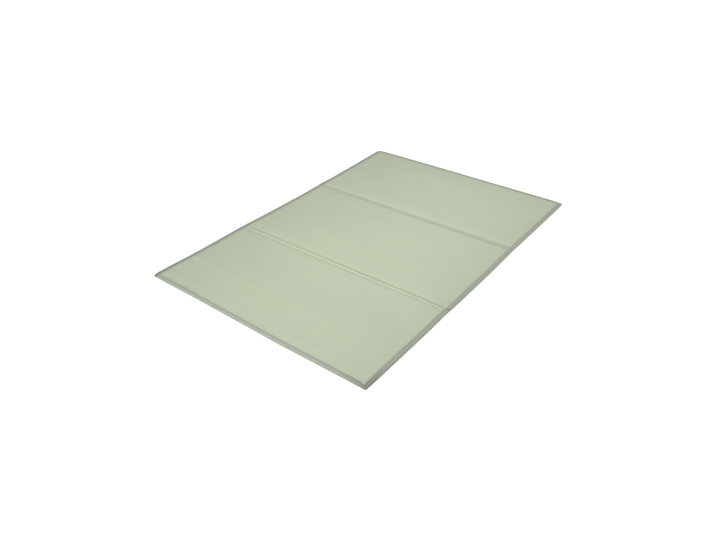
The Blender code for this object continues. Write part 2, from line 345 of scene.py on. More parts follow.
class StageSettings(PropertyGroup):
    """The floor, the light and the camera."""

    floor_colour: a_colour("Floor", "Colour of the floor", (0.45, 0.45, 0.45, 1.0))
    floor_glow: a_number("Floor glow", "Light that the floor gives off", 0.66)
    zenith: a_number("Zenith", "Strength of the even light from above", 0.45)
    horizon: a_number("Horizon", "Strength of the even light from the sides", 0.08)
    key_strength: a_number("Key light", "Strength of the light from the left", 2.3)
    key_from: a_place("Key from", "Where the key light comes from", (-4.0, 0.6, 2.1))
    box_power: a_number("Soft box", "Power of the soft box overhead", 12.7)
    box_place: a_place("Box place", "Where the soft box is", (-0.42, -0.13, 1.32))
    lens: a_number("Lens", "Focal length in millimetres", 31.741)
    camera_place: a_place("Camera", "Where the camera is", (-2.4652, -1.8487, 1.8565))
    camera_target: a_place("Target", "Point that it looks at", (-0.3150, -0.1271, 0.0))
    camera_roll: an_angle("Roll", "Tilt of the camera about its view", math.radians(-1.232))


class Edge:
    """One bound edge of the mat, as rays find it on its construction tape: how far it lies inside the full
    rectangle, and the heights of the tape's top and underside, all against the place along the edge."""

    def __init__(self, node, lengthwise, side, tape_shade):
        self.node = node
        self.lengthwise = lengthwise
        self.side = side
        self.tape_shade = tape_shade
        self.half = HALF_LENGTH if lengthwise else HALF_WIDTH
        self.reach = HALF_WIDTH if lengthwise else HALF_LENGTH
        self.first = 0.0 if lengthwise else UPPER_ROUND
        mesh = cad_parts[node].data
        corners = [vertex.co for vertex in mesh.vertices]
        tree = BVHTree.FromPolygons(corners, [tuple(face.vertices) for face in mesh.polygons])
        place = np.arange(-self.half, self.half + PROBE_STEP / 2, PROBE_STEP)
        found = []
        for along in place:
            outer = self.hit(tree, along, side * (self.reach + PROBE_DISTANCE), PROBE_HEIGHT, (-side, 0))
            if outer is None:
                continue
            inset = self.reach - abs(outer.y if lengthwise else outer.x)
            middle = side * (self.reach - inset - CREST_DEPTH)
            top = self.hit(tree, along, middle, PROBE_DISTANCE, (0, -1))
            floor = self.hit(tree, along, middle, -PROBE_DISTANCE, (0, 1))
            if top is not None and floor is not None:
                found.append((along, inset, top.z, floor.z))
        along, inset, top, floor = np.array(found).T
        self.inset_at = self.evened(place, along, inset, OUTLINE_SMOOTHING)
        self.top_at = self.evened(place, along, top, HEIGHT_SMOOTHING)
        self.floor_at = self.evened(place, along, floor, HEIGHT_SMOOTHING)

    def hit(self, tree, along, across, z, direction):
        """First point of the tape that a ray meets, or None. The direction is across the edge and upwards."""
        sideways, upwards = direction
        if self.lengthwise:
            return tree.ray_cast(Vector((along, across, z)), Vector((0, sideways, upwards)))[0]
        return tree.ray_cast(Vector((across, along, z)), Vector((sideways, 0, upwards)))[0]

    @staticmethod
    def evened(place, along, values, reach):
        """A measure of the edge without its finest bumps, as a function of the place along the edge."""
        count = math.ceil(SMOOTHING_SPAN * reach / PROBE_STEP)
        weights = bump(np.arange(-count, count + 1) * PROBE_STEP, reach)
        padded = np.pad(np.interp(place, along, values), count, mode="edge")
        even = np.convolve(padded, weights / weights.sum(), mode="valid")
        return lambda where: np.interp(where, place, even)

    def waver_at(self, along):
        return waves(TAPE_WAVES, along, np.full_like(along, self.side))

    def points(self, along, depth, z):
        """Points on the mat, from places along the edge, depths inside it and heights."""
        across = self.side * (self.reach - depth)
        x, y = (along, across) if self.lengthwise else (across, along)
        return np.stack([*drifted(x, y), flattened(x, y, z)], axis=-1)


FRONT = Edge("long_tape_front", True, -1, FRONT_TAPE_SHADE)
BACK = Edge("long_tape_back", True, 1, BACK_TAPE_SHADE)
LEFT = Edge("end_tape_left", False, -1, LEFT_TAPE_SHADE)
RIGHT = Edge("end_tape_right", False, 1, RIGHT_TAPE_SHADE)
TAPES = {"bound_edge_front": FRONT, "bound_edge_back": BACK, "bound_end_left": LEFT, "bound_end_right": RIGHT}


def drifted(x, y):
    """Places on the uneven mat of points of the full rectangle."""
    side = np.where(y > 0, BACK.inset_at(x), FRONT.inset_at(x)) * (np.abs(y) / HALF_WIDTH) ** EDGE_FADE
    end = np.where(x > 0, RIGHT.inset_at(y), LEFT.inset_at(y)) * (np.abs(x) / HALF_LENGTH) ** EDGE_FADE
    return x - np.sign(x) * end, y - np.sign(y) * side


def flattened(x, y, z):
    """Heights on the mat, whose corners lie thinner than its edges."""
    away = np.hypot(HALF_LENGTH - np.abs(x), HALF_WIDTH - np.abs(y))
    return z * (1 - CORNER_DROP * bump(away, CORNER_REACH))


def fall_at(depth):
    """How far the top of a tape falls towards its sewn inner edge."""
    share = np.clip((depth - UPPER_ROUND) / (LOWER_LEG[0] - UPPER_ROUND), 0, 1)
    return TAPE_FALL * share**2


def shoulder_at(depth):
    """How far a tape's rounded outer edge lies below its crown."""
    share = np.clip(1 - depth / SHOULDER_WIDTH, 0, 1)
    return SHOULDER_HEIGHT * (1 - np.sqrt(1 - share**2))


def panel_columns(left, right):
    """Lines across the mat between two seams: x and height at the front and at the back."""
    width = right.front.x - left.front.x
    near = np.array(SEAM_OFFSETS)
    inner = width - 2 * near[-1]
    count = math.ceil(inner / WIDEST_COLUMN)
    middles = near[-1] + inner * np.arange(1, count) / count
    place = np.concatenate([near, middles, width - near[::-1]])
    lines = [mix(first.x, second.x, place / width) for first, second in zip(left, right)]
    for first, second in zip(left, right):
        fall = (PANEL_HEIGHT - first.height) * remaining(place, first.sharpness)
        fall = fall + (PANEL_HEIGHT - second.height) * remaining(width - place, second.sharpness)
        lines.append(PANEL_HEIGHT - fall)
    return np.stack(lines, axis=1)


def hinge_columns(left, right, crest):
    """The same on the strip between a fold's two seams, which is puffed up or sunk."""
    width = right.front.x - left.front.x
    near = np.array(HINGE_OFFSETS)
    place = np.concatenate([near, [width / 2], width - near[::-1]])
    share = place / width
    puff = np.sin(math.pi * share**PUFF_LEAN) ** PUFF_SHARPNESS
    lines = [mix(first.x, second.x, share) for first, second in zip(left, right)]
    for first, second, top in zip(left, right, crest):
        lines.append(mix(mix(first.height, second.height, share), top, puff))
    return np.stack(lines, axis=1)


def seam_column(seam):
    return np.array([[seam.front.x, seam.back.x, seam.front.height, seam.back.height]])


def tape_seam(x):
    end = SeamEnd(x, SEAM_LEVEL, 0.0, 0.0, TAPE_SHARPNESS)
    return Seam(end, end)


def lip_columns(depths, side):
    x = side * (HALF_LENGTH - np.array(depths))
    level = np.full(len(x), SEAM_LEVEL)
    return np.stack([x, x, level, level], axis=1)


def all_columns(lip):
    """Every line across the mat from left to right, and the numbers of those that follow a fold's seams."""
    inner = HALF_LENGTH - LOWER_LEG[0]
    seams = (tape_seam(-inner), *LEFT_FOLD, *RIGHT_FOLD, tape_seam(inner))
    crests = (None, LEFT_CREST, None, RIGHT_CREST, None)
    parts = [lip_columns((lip, *LIP_DEPTHS), -1)]
    sewn = []
    for left, right, crest in zip(seams, seams[1:], crests):
        sewn.append(sum(len(part) for part in parts))
        parts.append(seam_column(left))
        parts.append(hinge_columns(left, right, crest) if crest else panel_columns(left, right))
    parts.append(seam_column(seams[-1]))
    parts.append(lip_columns((lip, *LIP_DEPTHS), 1)[::-1])
    return np.concatenate(parts), sewn[1:]


def all_rows(lip, rib_pitch):
    """Every row along the mat, from front to back, and the pitch of the ribs that they follow."""
    inner = HALF_WIDTH - LOWER_LEG[0]
    ribs = round(2 * inner / rib_pitch)
    face = np.linspace(-inner, inner, ribs * POINTS_A_RIB + 1)
    outer = HALF_WIDTH - np.array((lip, *LIP_DEPTHS))
    return np.concatenate([-outer, face, outer[::-1]]), 2 * inner / ribs


def seam_distance(x, share):
    """Distance from each point to the nearest seam of a fold, and how much painted shade its crease gives it.
    """
    distance = np.full(x.shape, HALF_LENGTH)
    crease = np.zeros(x.shape)
    for seam in (*LEFT_FOLD, *RIGHT_FOLD):
        away = np.abs(x - mix(seam.front.x, seam.back.x, share))
        distance = np.minimum(distance, away)
        strength = mix(seam.front.crease, seam.back.crease, share)
        crease = np.maximum(crease, strength * bump(away, mix(seam.front.reach, seam.back.reach, share)))
    return distance, crease


def dimple_at(dimple, x, y):
    return bump(np.hypot((x - dimple.x) / dimple.along, (y - dimple.y) / dimple.across), 1.0)


class MatForm:
    """Places of the padded mat's points, as grids with a row for each y and a column for each line."""

    def __init__(self, settings, cloth):
        lip = cloth + TAPE_GAP
        lines, self.sewn = all_columns(lip)
        self.rows, self.rib_pitch = all_rows(lip, settings.rib_pitch)
        share = (self.rows / (2 * HALF_WIDTH) + 0.5)[:, None]
        self.x = mix(lines[:, 0], lines[:, 1], share)
        self.y = np.repeat(self.rows[:, None], len(lines), axis=1)
        self.depth_x = HALF_LENGTH - np.abs(self.x)
        self.depth_y = HALF_WIDTH - np.abs(self.y)
        self.long_top = np.where(self.y > 0, BACK.top_at(self.x), FRONT.top_at(self.x))
        self.seam, self.crease = seam_distance(self.x, share)
        self.shade_beside_tapes()
        padding = self.padding(settings, mix(lines[:, 2], lines[:, 3], share))
        self.top, self.floor = self.levels(padding, lip)
        inside = np.minimum(self.depth_x, self.depth_y) - LOWER_LEG[0]
        self.ribbed = np.clip(inside, 0, SHARP_REACH) / SHARP_REACH

    def shade_beside_tapes(self):
        # Painted shade on the mat beside each tape, as strong and as wide as that tape's table gives
        from_edges = (HALF_WIDTH + self.y, HALF_WIDTH - self.y, HALF_LENGTH + self.x, HALF_LENGTH - self.x)
        for edge, depth in zip(TAPES.values(), from_edges):
            beside = bump(np.clip(depth - LOWER_LEG[0], 0, None), edge.tape_shade.reach)
            self.crease = np.maximum(self.crease, edge.tape_shade.crease * beside)

    def padding(self, settings, level):
        """Heights of the face between the tapes, from each line's own level. Dimples add to its painted
        shade.
        """
        from_long = np.clip(self.depth_y - LOWER_LEG[0], 0, None)
        from_end = np.clip(self.depth_x - LOWER_LEG[0], 0, None)
        fullness = 1 - remaining(from_long, TAPE_SHARPNESS)
        rise = fullness * (1 - remaining(np.minimum(self.seam, from_end), FOLD_SHARPNESS))
        gather = np.exp(-self.seam / PUCKER_REACH) * (1 - np.exp(-self.seam / PUCKER_START)) * fullness
        padding = mix(SEAM_LEVEL - (TAPE_HEIGHT - self.long_top), level, fullness)
        padding = padding + settings.ripple * rise * waves(PAD_WAVES, self.x, self.y)
        padding = padding + settings.pucker * gather * waves(PUCKER_WAVES, self.x, self.y)
        for dimple in DIMPLES:
            here = dimple_at(dimple, self.x, self.y)
            padding = padding - dimple.depth * here * np.clip(from_long / SHARP_REACH, 0, 1)
            # Painted shade in the dimple
            self.crease = np.maximum(self.crease, dimple.shade * here)
        return padding

    def levels(self, padding, lip):
        """Heights of the mat's top and of its underside, on the face and under the tapes."""
        end_top = np.where(self.x > 0, RIGHT.top_at(self.y), LEFT.top_at(self.y))
        end_floor = np.where(self.x > 0, RIGHT.floor_at(self.y), LEFT.floor_at(self.y))
        depth = np.minimum(self.depth_x, self.depth_y)
        shoulder = shoulder_at(depth)
        bevel = np.where(depth < LIP_DEPTHS[0] / 2, LIP_BEVEL, 0.0)
        below_long = self.long_top - fall_at(self.depth_y) - shoulder - lip - bevel
        below_end = end_top - fall_at(self.depth_x) - shoulder - lip - bevel
        covered = LOWER_LEG[0] - TAPE_GAP
        top = np.where(self.depth_y < covered, below_long, padding)
        top = np.where(self.depth_x < covered, below_end, top)
        pull = UNDERSIDE_PULL * np.clip(1 - self.seam / UNDERSIDE_REACH, 0, 1) ** 2
        raised = lip + bevel
        floor = np.where(self.depth_y < FLOOR_START, raised, pull)
        return top, np.where(self.depth_x < FLOOR_START, end_floor + raised, floor)

    def points(self, height):
        x, y = drifted(self.x, self.y)
        return np.stack([x, y, flattened(self.x, self.y, height)], axis=-1)

    def kept_below(self):
        """Rows that the plainer underside keeps."""
        lip = len(LIP_DEPTHS) + 1
        middle = range(lip, len(self.rows) - lip, BELOW_STEP)
        last = len(self.rows) - 1
        return sorted({*range(lip), *middle, lip + POINTS_A_RIB, *(last - n for n in range(lip + 1))})


def rim(upper, lower):
    """Faces between a fine line of points above and a coarser one below, walked with the outside on the
    right. Each line is a list of (place, index), and the upper has all the lower one's places."""
    faces = []
    for (start, first), (end, second) in zip(lower, lower[1:]):
        between = [index for place, index in upper if min(start, end) <= place <= max(start, end)]
        faces.append((first, second, *reversed(between)))
    return faces


def mat_mesh(form):
    """The mat as one closed mesh, with a fine face and a plainer underside."""
    rows, columns = form.x.shape
    kept = form.kept_below()
    above = form.points(form.top).reshape(-1, 3)
    below = form.points(form.floor)[kept].reshape(-1, 3)
    number = np.arange(rows * columns).reshape(rows, columns)
    under = rows * columns + np.arange(len(below)).reshape(len(kept), columns)
    faces = np.stack([number[:-1, :-1], number[:-1, 1:], number[1:, 1:], number[1:, :-1]], -1)
    faces = faces.reshape(-1, 4).tolist() + quads_of(under)
    sides = (
        (number[0], under[0], range(columns), 1),
        (number[:, -1], under[:, -1], kept, 1),
        (number[-1], under[-1], range(columns), -1),
        (number[:, 0], under[:, 0], kept, -1),
    )
    for fine, coarse, places, step in sides:
        faces += rim(list(enumerate(fine.tolist()))[::step], list(zip(places, coarse.tolist()))[::step])
    mesh = bpy.data.meshes.new("woven_mat")
    mesh.from_pydata(np.concatenate([above, below]).tolist(), [], faces)
    weave = np.stack([form.x, form.y, np.zeros_like(form.x)], -1)
    add_values(mesh, WEAVE, np.concatenate([weave.reshape(-1, 3), weave[kept].reshape(-1, 3)]))
    add_values(mesh, RIBBED, np.concatenate([form.ribbed.ravel(), np.zeros(len(below))]))
    add_values(mesh, PAINTED_SHADE, np.concatenate([form.crease.ravel(), form.crease[kept].ravel()]))
    mesh.shade_smooth()
    return mesh


def add_values(mesh, name, values):
    """Gives a mesh a named number or vector at each point."""
    kind, field = ("FLOAT_VECTOR", "vector") if name == WEAVE else ("FLOAT", "value")
    attribute = mesh.attributes.new(name, kind, "POINT")
    attribute.data.foreach_set(field, values.astype(np.float32).ravel())


def linked_object(name, mesh):
    obj = bpy.data.objects.new(name, mesh)
    bpy.context.scene.collection.objects.link(obj)
    return obj


class Nodes:
    """A node tree that is built one call at a time."""

    def __init__(self, tree):
        self.tree = tree

    def node(self, kind, settings=None, inputs=None):
        """A node of this type, with its settings made before its sockets."""
        made = self.tree.nodes.new(kind)
        for name, value in (settings or {}).items():
            setattr(made, name, value)
        for key, value in (inputs or {}).items():
            self.feed(made.inputs[key], value)
        return made

    def feed(self, socket, value):
        """Links a socket to another one, or sets it."""
        if isinstance(value, Number):
            value = value.socket
        if isinstance(value, bpy.types.NodeSocket):
            self.tree.links.new(value, socket)
        else:
            socket.default_value = value

    def number(self, socket):
        return Number(self, socket)


class Number:
    """A number in a node tree, which Python's operators and these functions turn into Math nodes."""

    def __init__(self, nodes, socket):
        self.nodes = nodes
        self.socket = socket

    def maths(self, operation, *others):
        inputs = dict(enumerate((self, *others)))
        made = self.nodes.node("ShaderNodeMath", {"operation": operation}, inputs)
        return Number(self.nodes, made.outputs[0])

    def __add__(self, other):
        return self.maths("ADD", other)

    def __radd__(self, other):
        return self + other

    def __sub__(self, other):
        return self.maths("SUBTRACT", other)

    def __rsub__(self, other):
        return Number(self.nodes, other) - self

    def __mul__(self, other):
        return self.maths("MULTIPLY", other)

    def __truediv__(self, other):
        return self.maths("DIVIDE", other)

    def __mod__(self, other):
        return self.maths("FLOORED_MODULO", other)

    def floor(self):
        return self.maths("FLOOR")

    def size(self):
        return self.maths("ABSOLUTE")

    def root(self):
        return self.maths("SQRT")

    def sine(self):
        return self.maths("SINE")

    def cosine(self):
        return self.maths("COSINE")

    def clamped(self):
        return self.maths("MAXIMUM", 0.0).maths("MINIMUM", 1.0)


class Material(Nodes):
    """A material with one Principled surface."""

    def __init__(self, name, roughness):
        self.material = bpy.data.materials.new(name)
        self.material.use_nodes = True
        super().__init__(self.material.node_tree)
        self.surface = self.tree.nodes["Principled BSDF"]
        self.surfaced("Roughness", roughness)

    def attribute(self, name):
        return self.node("ShaderNodeAttribute", {"attribute_name": name})

    def parts(self, vector):
        split = self.node("ShaderNodeSeparateXYZ", None, {0: vector})
        return [self.number(output) for output in split.outputs]

    def noise(self, detail, vector, stretch):
        """Noise from 0 to 1 on a vector, scaled along its axes."""
        placed = self.node("ShaderNodeMapping", None, {"Vector": vector, "Scale": stretch})
        inputs = {"Vector": placed.outputs[0], "Scale": 1.0, "Detail": detail}
        return self.number(self.node("ShaderNodeTexNoise", None, inputs).outputs[0])

    def random(self, number):
        made = self.node("ShaderNodeTexWhiteNoise", {"noise_dimensions": "1D"}, {"W": number})
        return self.number(made.outputs["Value"])

    def mixed(self, share, first, second):
        """One colour mixed into another. A Mix node takes colours at 6 and 7 and gives one at 2."""
        made = self.node("ShaderNodeMix", {"data_type": "RGBA"}, {0: share, 6: first, 7: second})
        return made.outputs[2]

    def bumped(self, height, distance):
        inputs = {"Height": height, "Distance": distance, "Strength": 1.0}
        made = self.node("ShaderNodeBump", None, inputs)
        self.surfaced("Normal", made.outputs[0])

    def surfaced(self, name, value):
        """Links an input of the surface, or sets it."""
        self.feed(self.surface.inputs[name], value)


def rush_material(settings, rib_pitch):
    """Woven rush: strands across the mat that pass over and under the lengthwise warps."""
    made = Material("Woven rush", settings.roughness)
    place = made.attribute(WEAVE).outputs["Vector"]
    along, across, _ = made.parts(place)
    count = along / settings.strand_width
    strand = count.floor()
    side = (count - strand) * 2 - 1
    roundness = (1 - side * side).root()
    turn = (across / rib_pitch) * math.pi
    parity = (strand % 2) * 2 - 1
    arch = turn.cosine() * parity
    groove = 1 - turn.sine().size()
    tint = made.random(strand)
    streaks = made.noise(STREAK_DETAIL, place, STREAKS)
    patches = made.noise(PLAIN_DETAIL, place, PATCHES)
    dryness = 0.5 + (tint - 0.5) * STRAND_TINT + (streaks - 0.5) * STREAK_TINT + (patches - 0.5) * PATCH_TINT
    dryness = dryness.clamped()
    fresh = made.mixed((dryness * 2).clamped(), settings.green_colour, settings.rush_colour)
    dried = made.mixed((dryness * 2 - 1).clamped(), fresh, settings.straw_colour)
    gap = (1 - roundness) * GAP_SHADE + groove * groove * GROOVE_SHADE
    # Painted shade along the folds, in the dimples and beside the tapes darkens the rush
    crease = made.number(made.attribute(PAINTED_SHADE).outputs["Fac"]) * CREASE_SHADE
    made.surfaced("Base Color", made.mixed((gap + crease).clamped(), dried, settings.shade_colour))
    fibre = made.noise(PLAIN_DETAIL, place, FIBRES)
    relief = roundness * STRAND_RELIEF + arch * ARCH_RELIEF + fibre * FIBRE_RELIEF
    made.bumped(relief, settings.strand_relief)
    return made.material


def tape_material(settings):
    """Twill tape: slanting ribs across the length of the tape, and slightly browner threads."""
    made = Material("Tape cloth", settings.roughness)
    place = made.attribute(WEAVE).outputs["Vector"]
    along, across, _ = made.parts(place)
    slant = (along + across) / settings.twill_pitch
    rib = (slant * math.pi).sine().size()
    yarn = ((across - along) / (settings.twill_pitch * YARN_PITCH) * math.pi).sine().size()
    warm = made.noise(STREAK_DETAIL, place, WARM_PATCHES)
    wear_and_side_shade = made.noise(PLAIN_DETAIL, place, WORN_PATCHES)
    warmth = ((warm - 0.5) * WARM_TINT + (wear_and_side_shade - 0.5) + 0.5).clamped()
    colour = made.mixed(warmth, settings.colour, settings.warm_colour)
    # Painted shade along the sewing, on the outer side, at the overlaps and at the folds, with the darker
    # first end and tips, darkens the tape
    crease = made.number(made.attribute(PAINTED_SHADE).outputs["Fac"]) * CREASE_SHADE
    gap = ((1 - rib) * RIB_SHADE + (1 - yarn) * YARN_SHADE + crease).clamped()
    made.surfaced("Base Color", made.mixed(gap, colour, settings.shade_colour))
    made.bumped(rib * RIB_RELIEF + yarn * YARN_RELIEF, settings.twill_pitch * TWILL_RELIEF)
    return made.material


def thread_material(settings):
    """Sewing thread, with its plies as slanting stripes."""
    made = Material("Sewing thread", THREAD_ROUGHNESS)
    coordinates = made.node("ShaderNodeTexCoord").outputs["Object"]
    x, y, _ = made.parts(coordinates)
    ply = ((x + y) / (settings.thread * PLY_PITCH) * math.pi).sine().size()
    fuzz = made.noise(PLAIN_DETAIL, coordinates, FUZZ)
    share = ((1 - ply) * PLY_SHADE + fuzz * FUZZ_SHADE).clamped()
    made.surfaced("Base Color", made.mixed(share, settings.colour, settings.dark_colour))
    made.bumped(ply, settings.thread * PLY_RELIEF)
    return made.material


class Growth(Nodes):
    """A Geometry Nodes tree with named inputs and a material."""

    def __init__(self, name, inputs):
        group = bpy.data.node_groups.new(name, "GeometryNodeTree")
        super().__init__(group)
        group.interface.new_socket("Geometry", in_out="INPUT", socket_type="NodeSocketGeometry")
        group.interface.new_socket("Geometry", in_out="OUTPUT", socket_type="NodeSocketGeometry")
        self.identifiers = {}
        for label, kind in {**inputs, "Material": "Material"}.items():
            made = group.interface.new_socket(label, in_out="INPUT", socket_type="NodeSocket" + kind)
            self.identifiers[label] = made.identifier
        self.given = self.node("NodeGroupInput").outputs

    def finished(self, geometry, material):
        """Ends the tree: real meshes, shaded smooth, in their material."""
        real = self.node("GeometryNodeRealizeInstances", None, {0: geometry})
        smooth = self.node("GeometryNodeSetShadeSmooth", None, {0: real.outputs[0]})
        dressed = self.node("GeometryNodeSetMaterial", None, {0: smooth.outputs[0], "Material": material})
        self.node("NodeGroupOutput", None, {0: dressed.outputs[0]})

    def grow(self, obj, values):
        """Puts the tree's result in place of the object's mesh."""
        modifier = obj.modifiers.new(self.tree.name, "NODES")
        modifier.node_group = self.tree
        for label, value in values.items():
            modifier[self.identifiers[label]] = value
        bpy.context.view_layer.update()
        graph = bpy.context.evaluated_depsgraph_get()
        made = bpy.data.meshes.new_from_object(obj.evaluated_get(graph))
        made.name = obj.name
        for number in reversed(range(len(made.materials))):
            if made.materials[number] is None:
                made.materials.pop(index=number)
        obj.modifiers.clear()
        obj.data = made


def rib_growth():
    """Raises the weave's ribs: rounded ridges along the mat with sharp grooves between them."""
    growth = Growth("Weave ribs", {"Pitch": "Float", "Height": "Float"})
    named = "GeometryNodeInputNamedAttribute"
    place = growth.node(named, {"data_type": "FLOAT_VECTOR"}, {"Name": WEAVE})
    across = growth.number(growth.node("ShaderNodeSeparateXYZ", None, {0: place.outputs[0]}).outputs[1])
    share = growth.number(growth.node(named, {"data_type": "FLOAT"}, {"Name": RIBBED}).outputs[0])
    ridge = (across / growth.given["Pitch"] * math.pi).sine().size()
    lift = (ridge - 0.5) * share * growth.given["Height"]
    offset = growth.node("ShaderNodeCombineXYZ", None, {"Z": lift})
    inputs = {0: growth.given["Geometry"], "Offset": offset.outputs[0]}
    raised = growth.node("GeometryNodeSetPosition", None, inputs)
    growth.finished(raised.outputs[0], growth.given["Material"])
    return growth


def stitch_growth():
    """Sets stitches along lines: rounded lengths of thread that lie a little unevenly."""
    inputs = {"Pitch": "Float", "Length": "Float", "Thread": "Float", "Seed": "Int"}
    growth = Growth("Stitch rows", inputs)
    given = growth.given
    curve = growth.node("GeometryNodeMeshToCurve", None, {0: given["Geometry"]})
    spaced = {0: curve.outputs[0], "Length": given["Pitch"]}
    points = growth.node("GeometryNodeResampleCurve", {"mode": "LENGTH"}, spaced)
    rounded = {"Segments": BALL_SEGMENTS, "Rings": BALL_RINGS, "Radius": BALL_RADIUS}
    ball = growth.node("GeometryNodeMeshUVSphere", None, rounded)
    sizes = {"X": given["Length"], "Y": given["Thread"], "Z": given["Thread"]}
    size = growth.node("ShaderNodeCombineXYZ", None, sizes)
    stitch = growth.node("GeometryNodeTransform", None, {0: ball.outputs[0], "Scale": size.outputs[0]})
    tangent = growth.node("GeometryNodeInputTangent")
    limits = {0: [-turn for turn in STITCH_TURN], 1: STITCH_TURN, "Seed": given["Seed"]}
    wander = growth.node("FunctionNodeRandomValue", {"data_type": "FLOAT_VECTOR"}, limits)
    turned = {"operation": "ADD"}
    heading = growth.node("ShaderNodeVectorMath", turned, {0: tangent.outputs[0], 1: wander.outputs[0]})
    turn = growth.node("FunctionNodeAlignRotationToVector", {"axis": "X"}, {"Vector": heading.outputs[0]})
    lengths = {2: STITCH_SIZES[0], 3: STITCH_SIZES[1], "Seed": given["Seed"]}
    scale = growth.node("FunctionNodeRandomValue", {"data_type": "FLOAT"}, lengths)
    inputs = {0: points.outputs[0], "Instance": stitch.outputs[0], "Rotation": turn.outputs[0]}
    rows = growth.node("GeometryNodeInstanceOnPoints", None, {**inputs, "Scale": scale.outputs[1]})
    growth.finished(rows.outputs[0], given["Material"])
    return growth


def settle(obj, slot, *replaced):
    """Sets a finished piece to ride on the mat's body, and hides what it stands for."""
    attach(obj, BODY)
    if replaced:
        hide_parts(*replaced)


def section_of(settings, top, floor):
    """Depths and heights round the outside of a folded tape at each station, from its lower edge on."""
    points = []
    for depth in LOWER_LEG:
        points.append((depth, floor + settings.groove * bump(depth - STITCH_DEPTH, GROOVE_REACH)))
    for n in range(LOWER_ARC + 1):
        angle = math.pi / 2 * n / LOWER_ARC
        points.append((LOWER_ROUND * (1 - math.sin(angle)), floor + LOWER_ROUND * (1 - math.cos(angle))))
    for n in range(1, SIDE_STEPS):
        points.append((0.0, mix(floor + LOWER_ROUND, top - SHOULDER_HEIGHT, n / SIDE_STEPS)))
    for n in range(UPPER_ARC + 1):
        angle = math.pi / 2 * n / UPPER_ARC
        drop = SHOULDER_HEIGHT * (1 - math.sin(angle))
        points.append((SHOULDER_WIDTH * (1 - math.cos(angle)), top - drop))
    for depth in UPPER_LEG:
        sunk = settings.groove * bump(depth - STITCH_DEPTH, GROOVE_REACH)
        points.append((depth, top - fall_at(depth) - sunk))
    depths, heights = zip(*points)
    heights = np.stack(heights, axis=1)
    return np.broadcast_to(depths, heights.shape), heights


def pressed_in(depth, z, distance):
    """A section's depths and heights after its surface has moved inwards by this distance."""
    run, rise = np.gradient(depth, axis=1), np.gradient(z, axis=1)
    length = np.hypot(run, rise)
    return depth + distance * rise / length, z - distance * run / length


def stations_along(half, first):
    """Places along a tape, closer together near its two ends."""
    near = half - first - np.array(END_STEPS)
    inner = near[-1] - TAPE_STEP
    count = round(2 * inner / TAPE_STEP)
    return np.concatenate([-near, np.linspace(-inner, inner, count + 1), near[::-1]])


def tape_painted_shade(edge, along, depth, z):
    """Painted shade on a tape along its sewing, on its outer side, where an end tape passes under a long tape
    and where a fold pinches it, and how much darker its first end and its tips are.
    """
    tape_shade = edge.tape_shade
    share = along / (2 * edge.half) + 0.5
    lines = bump(depth - STITCH_DEPTH, GROOVE_REACH) + bump(depth - UPPER_LEG[-1], GROOVE_REACH)
    # Painted shade along the sewing and at the tape's inner edge
    crease = mix(tape_shade.sewn_first, tape_shade.sewn_second, share) * lines
    # Painted shade on the lower outer side, stronger towards one end
    wear_and_side_shade = np.clip(1 - z / SIDE_SHADE_HEIGHT, 0, 1) * np.clip(1 - depth / SIDE_SHADE_DEPTH, 0, 1)
    crease = crease + mix(tape_shade.side_second, tape_shade.side_first, (1 - share) ** SIDE_FADE) * wear_and_side_shade
    # Darker towards the first end
    crease = crease + tape_shade.soiled * bump(edge.half + along, DARKER_END_REACH)
    if not edge.lengthwise:
        # Painted shadow where the end tape passes under a long tape
        from_long = edge.half - LOWER_LEG[0] - OVERLAP_REACH / 2 - np.abs(along)
        return np.maximum(crease, OVERLAP_SHADOW * bump(from_long, OVERLAP_REACH))
    # Darker tips
    crease = np.maximum(crease, TIP_DARKENING * bump(edge.half - np.abs(along), TIP_REACH))
    # Painted shade where a fold pinches the tape
    for seam in (*LEFT_FOLD, *RIGHT_FOLD):
        end = seam.front if edge.side < 0 else seam.back
        crease = np.maximum(crease, end.crease * bump(along - end.x, TAPE_PINCH))
    return crease


def tape_piece(name, settings, edge):
    """One tape folded over an edge, as a sheet of cloth with a rolled end at each corner."""
    place = stations_along(edge.half, edge.first)
    thickness = settings.thickness
    from_end = np.clip(edge.half - edge.first - np.abs(place), 0, thickness)
    rounding = thickness - np.sqrt(thickness**2 - (thickness - from_end) ** 2)
    depth, z = section_of(settings, edge.top_at(place), edge.floor_at(place))
    depth = depth + edge.waver_at(place)[:, None] * settings.waver * depth / STITCH_DEPTH
    along = np.repeat(place[:, None], depth.shape[1], axis=1)
    pressed = (rounding[:, None] * (1 - END_THICKNESS), thickness)
    layers = [edge.points(along, *pressed_in(depth, z, distance)) for distance in pressed]
    if edge.lengthwise == (edge.side > 0):
        layers = [layer[::-1] for layer in layers]
        along, depth, z = along[::-1], depth[::-1], z[::-1]
    steps = np.linalg.norm(np.diff(layers[0][len(along) // 2], axis=0), axis=1)
    round_it = np.concatenate([[0.0], np.cumsum(steps)])
    weave = np.stack([along, np.broadcast_to(round_it, along.shape), np.zeros_like(along)], axis=-1)
    crease = np.clip(tape_painted_shade(edge, along, depth, z), 0, 1)
    mesh = two_layers(name, *layers)
    add_values(mesh, WEAVE, np.stack([weave, weave]))
    add_values(mesh, PAINTED_SHADE, np.stack([crease, crease]))
    mesh.shade_smooth()
    return linked_object(name, mesh)


def quads_of(number):
    """Faces of a grid of numbered points."""
    quads = np.stack([number[:-1, :-1], number[1:, :-1], number[1:, 1:], number[:-1, 1:]], -1)
    return quads.reshape(-1, 4).tolist()


